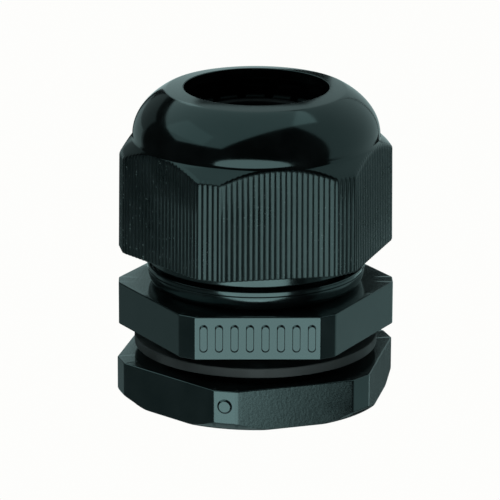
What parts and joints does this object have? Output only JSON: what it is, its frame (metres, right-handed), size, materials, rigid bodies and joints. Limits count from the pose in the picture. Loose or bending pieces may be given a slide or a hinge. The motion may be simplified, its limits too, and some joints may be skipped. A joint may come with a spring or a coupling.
{
  "type": "cable gland",
  "caption": "Nylon cable gland: domed sealing nut over a clamping cage and rubber seal, threaded body with hexagon flange, flat washer and hexagon lock nut.",
  "frame": {"origin": "middle of the lock nut's flat bottom, which is level with the end of the entry thread", "axes": "+Z along the cable axis, from the entry thread to the dome; -Y is the flat of the body's hexagon that faces the viewer"},
  "size_m": [0.0366, 0.037, 0.0415],
  "materials": {
    "body_nylon": "semi-gloss moulded black nylon",
    "cap_nylon": "polished dome, satin ribbed grip, moulded black nylon",
    "nut_nylon": "semi-gloss moulded black nylon",
    "cage_nylon": "matte moulded black nylon",
    "washer_rubber": "matte black rubber",
    "seal_rubber": "matte black rubber"
  },
  "bodies": {
    "gland_body": {"gland_body": "body_nylon", "claw_ring": "cage_nylon"},
    "seal_insert": {"seal_insert": "seal_rubber"},
    "dome_nut": {"dome_nut": "cap_nylon"},
    "sealing_washer": {"sealing_washer": "washer_rubber"},
    "lock_nut": {"lock_nut": "nut_nylon"},
    "claw_finger_01": {"claw_finger_01": "cage_nylon"},
    "claw_finger_02": {"claw_finger_02": "cage_nylon"},
    "claw_finger_03": {"claw_finger_03": "cage_nylon"},
    "claw_finger_04": {"claw_finger_04": "cage_nylon"},
    "claw_finger_05": {"claw_finger_05": "cage_nylon"},
    "claw_finger_06": {"claw_finger_06": "cage_nylon"},
    "claw_finger_07": {"claw_finger_07": "cage_nylon"},
    "claw_finger_08": {"claw_finger_08": "cage_nylon"},
    "claw_finger_09": {"claw_finger_09": "cage_nylon"},
    "claw_finger_10": {"claw_finger_10": "cage_nylon"},
    "claw_finger_11": {"claw_finger_11": "cage_nylon"},
    "claw_finger_12": {"claw_finger_12": "cage_nylon"},
    "claw_finger_13": {"claw_finger_13": "cage_nylon"},
    "claw_finger_14": {"claw_finger_14": "cage_nylon"},
    "claw_finger_15": {"claw_finger_15": "cage_nylon"},
    "claw_finger_16": {"claw_finger_16": "cage_nylon"}
  },
  "joints": [
    {"name": "cap_turn", "type": "hinge", "parent": "gland_body", "child": "seal_insert", "pos_m": [0, 0, 0.03], "axis": [0, 0, 1], "range_deg": [-90, 1350]},
    {"name": "cap_travel", "type": "slide", "parent": "seal_insert", "child": "dome_nut", "axis": [0, 0, 1], "range_m": [-0.0005, 0.0075]},
    {"name": "nut_travel", "type": "slide", "parent": "gland_body", "child": "sealing_washer", "axis": [0, 0, 1], "range_m": [-0.0052, 0.0012]},
    {"name": "nut_turn", "type": "hinge", "parent": "sealing_washer", "child": "lock_nut", "pos_m": [0, 0, 0.0028], "axis": [0, 0, 1], "range_deg": [-1248, 288]},
    {"name": "claw_flex_01", "type": "hinge", "parent": "gland_body", "child": "claw_finger_01", "pos_m": [0.01115, 0, 0.02945], "axis": [0, 1, 0], "range_deg": [-0.6, 9]},
    {"name": "claw_flex_02", "type": "hinge", "parent": "gland_body", "child": "claw_finger_02", "pos_m": [0.0103, 0.00427, 0.02945], "axis": [-0.3827, 0.9239, 0], "range_deg": [-0.6, 9]},
    {"name": "claw_flex_03", "type": "hinge", "parent": "gland_body", "child": "claw_finger_03", "pos_m": [0.00788, 0.00788, 0.02945], "axis": [-0.7071, 0.7071, 0], "range_deg": [-0.6, 9]},
    {"name": "claw_flex_04", "type": "hinge", "parent": "gland_body", "child": "claw_finger_04", "pos_m": [0.00427, 0.0103, 0.02945], "axis": [-0.9239, 0.3827, 0], "range_deg": [-0.6, 9]},
    {"name": "claw_flex_05", "type": "hinge", "parent": "gland_body", "child": "claw_finger_05", "pos_m": [0, 0.01115, 0.02945], "axis": [-1, 0, 0], "range_deg": [-0.6, 9]},
    {"name": "claw_flex_06", "type": "hinge", "parent": "gland_body", "child": "claw_finger_06", "pos_m": [-0.00427, 0.0103, 0.02945], "axis": [-0.9239, -0.3827, 0], "range_deg": [-0.6, 9]},
    {"name": "claw_flex_07", "type": "hinge", "parent": "gland_body", "child": "claw_finger_07", "pos_m": [-0.00788, 0.00788, 0.02945], "axis": [-0.7071, -0.7071, 0], "range_deg": [-0.6, 9]},
    {"name": "claw_flex_08", "type": "hinge", "parent": "gland_body", "child": "claw_finger_08", "pos_m": [-0.0103, 0.00427, 0.02945], "axis": [-0.3827, -0.9239, 0], "range_deg": [-0.6, 9]},
    {"name": "claw_flex_09", "type": "hinge", "parent": "gland_body", "child": "claw_finger_09", "pos_m": [-0.01115, 0, 0.02945], "axis": [0, -1, 0], "range_deg": [-0.6, 9]},
    {"name": "claw_flex_10", "type": "hinge", "parent": "gland_body", "child": "claw_finger_10", "pos_m": [-0.0103, -0.00427, 0.02945], "axis": [0.3827, -0.9239, 0], "range_deg": [-0.6, 9]},
    {"name": "claw_flex_11", "type": "hinge", "parent": "gland_body", "child": "claw_finger_11", "pos_m": [-0.00788, -0.00788, 0.02945], "axis": [0.7071, -0.7071, 0], "range_deg": [-0.6, 9]},
    {"name": "claw_flex_12", "type": "hinge", "parent": "gland_body", "child": "claw_finger_12", "pos_m": [-0.00427, -0.0103, 0.02945], "axis": [0.9239, -0.3827, 0], "range_deg": [-0.6, 9]},
    {"name": "claw_flex_13", "type": "hinge", "parent": "gland_body", "child": "claw_finger_13", "pos_m": [0, -0.01115, 0.02945], "axis": [1, 0, 0], "range_deg": [-0.6, 9]},
    {"name": "claw_flex_14", "type": "hinge", "parent": "gland_body", "child": "claw_finger_14", "pos_m": [0.00427, -0.0103, 0.02945], "axis": [0.9239, 0.3827, 0], "range_deg": [-0.6, 9]},
    {"name": "claw_flex_15", "type": "hinge", "parent": "gland_body", "child": "claw_finger_15", "pos_m": [0.00788, -0.00788, 0.02945], "axis": [0.7071, 0.7071, 0], "range_deg": [-0.6, 9]},
    {"name": "claw_flex_16", "type": "hinge", "parent": "gland_body", "child": "claw_finger_16", "pos_m": [0.0103, -0.00427, 0.02945], "axis": [0.3827, 0.9239, 0], "range_deg": [-0.6, 9]}
  ],
  "couplings": [
    {"joint": "cap_travel", "follows": "cap_turn", "m_per_rad": 0.00031831},
    {"joint": "nut_travel", "follows": "nut_turn", "m_per_rad": 0.00023873},
    {"joint": "claw_flex_01", "follows": "cap_turn", "ratio": 0.0066667},
    {"joint": "claw_flex_02", "follows": "cap_turn", "ratio": 0.0066667},
    {"joint": "claw_flex_03", "follows": "cap_turn", "ratio": 0.0066667},
    {"joint": "claw_flex_04", "follows": "cap_turn", "ratio": 0.0066667},
    {"joint": "claw_flex_05", "follows": "cap_turn", "ratio": 0.0066667},
    {"joint": "claw_flex_06", "follows": "cap_turn", "ratio": 0.0066667},
    {"joint": "claw_flex_07", "follows": "cap_turn", "ratio": 0.0066667},
    {"joint": "claw_flex_08", "follows": "cap_turn", "ratio": 0.0066667},
    {"joint": "claw_flex_09", "follows": "cap_turn", "ratio": 0.0066667},
    {"joint": "claw_flex_10", "follows": "cap_turn", "ratio": 0.0066667},
    {"joint": "claw_flex_11", "follows": "cap_turn", "ratio": 0.0066667},
    {"joint": "claw_flex_12", "follows": "cap_turn", "ratio": 0.0066667},
    {"joint": "claw_flex_13", "follows": "cap_turn", "ratio": 0.0066667},
    {"joint": "claw_flex_14", "follows": "cap_turn", "ratio": 0.0066667},
    {"joint": "claw_flex_15", "follows": "cap_turn", "ratio": 0.0066667},
    {"joint": "claw_flex_16", "follows": "cap_turn", "ratio": 0.0066667}
  ]
}
